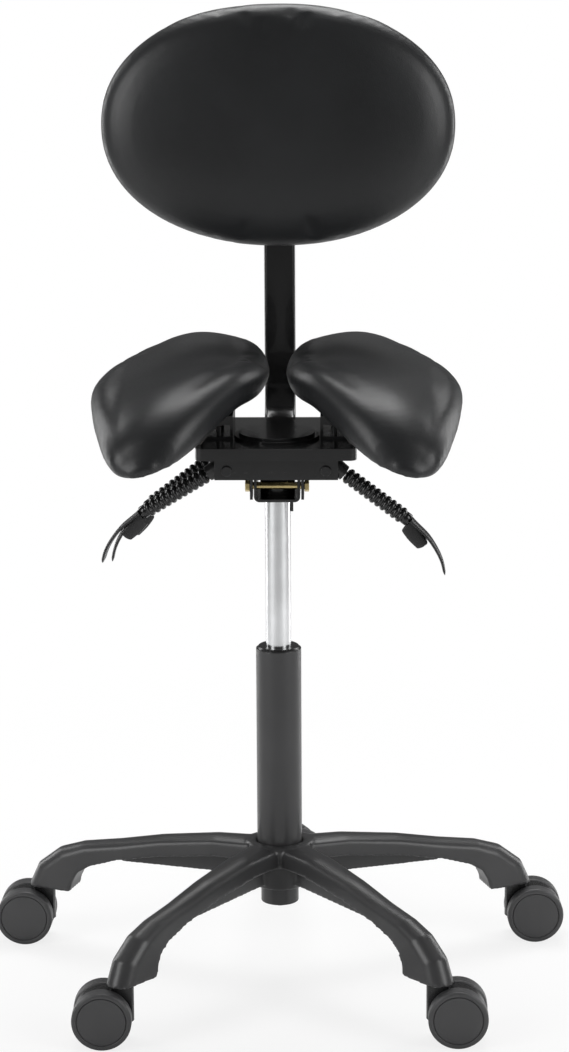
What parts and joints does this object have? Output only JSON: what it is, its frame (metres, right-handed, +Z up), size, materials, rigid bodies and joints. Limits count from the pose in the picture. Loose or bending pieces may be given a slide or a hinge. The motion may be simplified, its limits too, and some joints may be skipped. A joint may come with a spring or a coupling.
{
  "type": "split saddle stool with backrest",
  "caption": "Swivel stool with a divided saddle seat, an oval backrest on a bent bar, hand levers under the seat, a gas column and a star base on twin-wheel castors.",
  "frame": {"origin": "on the floor under the column's axis", "axes": "+Z up along the column; the sitter faces -Y and the backrest is on the +Y side; X to the side"},
  "size_m": [0.6503, 0.5894, 1.0652],
  "materials": {
    "base_black": "satin black moulded",
    "steel": "bright turned",
    "tube_black": "satin black paint",
    "black_plastic": "moulded",
    "black_rubber": "glossy ribbed",
    "cylinder_grey": "ground",
    "steel_black": "gloss black paint",
    "zinc_bolt": "yellow zinc",
    "screw_black": "black oxide",
    "board_wood": "moulded plywood, stained black",
    "black_vinyl": "satin coated cloth",
    "shell_plastic": "fine grain",
    "wheel_plastic": "hard tread"
  },
  "bodies": {
    "base": {"star_base": "base_black", "castor_stems": "steel", "outer_tube": "tube_black", "guide_bush": "black_plastic", "thrust_bearing": "steel", "bump_stop": "black_rubber"},
    "lift_rod": {"piston_rod": "steel", "rod_clip": "steel"},
    "column": {"gas_cylinder": "cylinder_grey", "hub_bracket": "steel_black", "pivot_bolt": "zinc_bolt"},
    "valve": {"release_pin": "steel"},
    "seat": {"seat_plate": "steel_black", "cross_channel": "steel_black", "channel_screws": "screw_black", "saddle_bracket_left": "steel_black", "saddle_bracket_right": "steel_black", "seat_board_left": "board_wood", "seat_board_right": "board_wood", "seat_cushion_left": "black_vinyl", "seat_cushion_right": "black_vinyl", "seat_screws": "screw_black", "lever_bushes": "black_plastic"},
    "back_arm": {"back_bracket": "steel_black", "back_pivot_pin": "steel", "back_bar": "steel_black"},
    "backrest": {"back_clamp": "steel_black", "back_board": "shell_plastic", "back_cushion": "black_vinyl", "back_screws": "screw_black"},
    "knob": {"back_knob": "black_plastic"},
    "height_lever": {"height_lever_rod": "steel", "height_lever_bellows": "black_rubber", "height_lever_paddle": "black_plastic"},
    "tilt_lever": {"tilt_lever_rod": "steel", "tilt_lever_bellows": "black_rubber", "tilt_lever_paddle": "black_plastic"},
    "back_lever": {"back_lever_rod": "steel", "back_lever_bellows": "black_rubber", "back_lever_paddle": "black_plastic"},
    "castor_1": {"castor_1_hood": "black_plastic", "castor_1_axle": "steel"},
    "castor_1_near": {"castor_1_wheel_near": "wheel_plastic"},
    "castor_1_far": {"castor_1_wheel_far": "wheel_plastic"},
    "castor_2": {"castor_2_hood": "black_plastic", "castor_2_axle": "steel"},
    "castor_2_near": {"castor_2_wheel_near": "wheel_plastic"},
    "castor_2_far": {"castor_2_wheel_far": "wheel_plastic"},
    "castor_3": {"castor_3_hood": "black_plastic", "castor_3_axle": "steel"},
    "castor_3_near": {"castor_3_wheel_near": "wheel_plastic"},
    "castor_3_far": {"castor_3_wheel_far": "wheel_plastic"},
    "castor_4": {"castor_4_hood": "black_plastic", "castor_4_axle": "steel"},
    "castor_4_near": {"castor_4_wheel_near": "wheel_plastic"},
    "castor_4_far": {"castor_4_wheel_far": "wheel_plastic"},
    "castor_5": {"castor_5_hood": "black_plastic", "castor_5_axle": "steel"},
    "castor_5_near": {"castor_5_wheel_near": "wheel_plastic"},
    "castor_5_far": {"castor_5_wheel_far": "wheel_plastic"}
  },
  "joints": [
    {"name": "lift_height", "type": "slide", "parent": "lift_rod", "child": "column", "axis": [0, 0, 1], "range_m": [-0.12, 0]},
    {"name": "seat_swivel", "type": "hinge", "parent": "base", "child": "lift_rod", "pos_m": [0, 0, 0.2], "axis": [0, 0, 1], "continuous": true},
    {"name": "valve_press", "type": "slide", "parent": "column", "child": "valve", "axis": [0, 0, -1], "range_m": [0, 0.005]},
    {"name": "seat_tilt", "type": "hinge", "parent": "column", "child": "seat", "pos_m": [0, -0.03, 0.561], "axis": [1, 0, 0], "range_deg": [-6, 8]},
    {"name": "back_angle", "type": "hinge", "parent": "seat", "child": "back_arm", "pos_m": [0, 0.062, 0.592], "axis": [1, 0, 0], "range_deg": [-10, 6]},
    {"name": "back_height", "type": "slide", "parent": "back_arm", "child": "backrest", "axis": [0, 0, 1], "range_m": [-0.04, 0.015]},
    {"name": "knob_turn", "type": "hinge", "parent": "backrest", "child": "knob", "pos_m": [0, 0.22, 0.888], "axis": [0, 1, 0], "continuous": true},
    {"name": "height_lever_pull", "type": "hinge", "parent": "seat", "child": "height_lever", "pos_m": [0.06661, -0.064, 0.58681], "axis": [0, -1, 0], "range_deg": [0, 5], "stiffness_Nm_per_rad": 1.5, "springref_deg": -6.88},
    {"name": "tilt_lever_pull", "type": "hinge", "parent": "seat", "child": "tilt_lever", "pos_m": [-0.06628, -0.06494, 0.58624], "axis": [0.1392, 0.9903, 0], "range_deg": [0, 8], "stiffness_Nm_per_rad": 1.5, "springref_deg": -6.88},
    {"name": "back_lever_pull", "type": "hinge", "parent": "seat", "child": "back_lever", "pos_m": [-0.06661, -0.014, 0.58981], "axis": [0, 1, 0], "range_deg": [0, 8], "stiffness_Nm_per_rad": 1.5, "springref_deg": -6.88},
    {"name": "castor_1_swivel", "type": "hinge", "parent": "base", "child": "castor_1", "pos_m": [0.26947, 0.09279, 0.06], "axis": [0, 0, 1], "continuous": true},
    {"name": "castor_1_near_roll", "type": "hinge", "parent": "castor_1", "child": "castor_1_near", "pos_m": [0.29044, 0.09389, 0.032], "axis": [-0.0523, 0.9986, 0], "continuous": true},
    {"name": "castor_1_far_roll", "type": "hinge", "parent": "castor_1", "child": "castor_1_far", "pos_m": [0.29044, 0.09389, 0.032], "axis": [-0.0523, 0.9986, 0], "continuous": true},
    {"name": "castor_2_swivel", "type": "hinge", "parent": "base", "child": "castor_2", "pos_m": [-0.00497, 0.28496, 0.06], "axis": [0, 0, 1], "continuous": true},
    {"name": "castor_2_near_roll", "type": "hinge", "parent": "castor_2", "child": "castor_2_near", "pos_m": [0.01406, 0.29383, 0.032], "axis": [-0.4226, 0.9063, 0], "continuous": true},
    {"name": "castor_2_far_roll", "type": "hinge", "parent": "castor_2", "child": "castor_2_far", "pos_m": [0.01406, 0.29383, 0.032], "axis": [-0.4226, 0.9063, 0], "continuous": true},
    {"name": "castor_3_swivel", "type": "hinge", "parent": "base", "child": "castor_3", "pos_m": [-0.27255, 0.08333, 0.06], "axis": [0, 0, 1], "continuous": true},
    {"name": "castor_3_near_roll", "type": "hinge", "parent": "castor_3", "child": "castor_3_near", "pos_m": [-0.29352, 0.08443, 0.032], "axis": [-0.0523, -0.9986, 0], "continuous": true},
    {"name": "castor_3_far_roll", "type": "hinge", "parent": "castor_3", "child": "castor_3_far", "pos_m": [-0.29352, 0.08443, 0.032], "axis": [-0.0523, -0.9986, 0], "continuous": true},
    {"name": "castor_4_swivel", "type": "hinge", "parent": "base", "child": "castor_4", "pos_m": [-0.16347, -0.23346, 0.06], "axis": [0, 0, 1], "continuous": true},
    {"name": "castor_4_near_roll", "type": "hinge", "parent": "castor_4", "child": "castor_4_near", "pos_m": [-0.18447, -0.23346, 0.032], "axis": [0, -1, 0], "continuous": true},
    {"name": "castor_4_far_roll", "type": "hinge", "parent": "castor_4", "child": "castor_4_far", "pos_m": [-0.18447, -0.23346, 0.032], "axis": [0, -1, 0], "continuous": true},
    {"name": "castor_5_swivel", "type": "hinge", "parent": "base", "child": "castor_5", "pos_m": [0.17152, -0.22761, 0.06], "axis": [0, 0, 1], "continuous": true},
    {"name": "castor_5_near_roll", "type": "hinge", "parent": "castor_5", "child": "castor_5_near", "pos_m": [0.19252, -0.22761, 0.032], "axis": [0, 1, 0], "continuous": true},
    {"name": "castor_5_far_roll", "type": "hinge", "parent": "castor_5", "child": "castor_5_far", "pos_m": [0.19252, -0.22761, 0.032], "axis": [0, 1, 0], "continuous": true}
  ],
  "couplings": [
    {"joint": "valve_press", "follows": "height_lever_pull", "m_per_rad": 0.05}
  ]
}
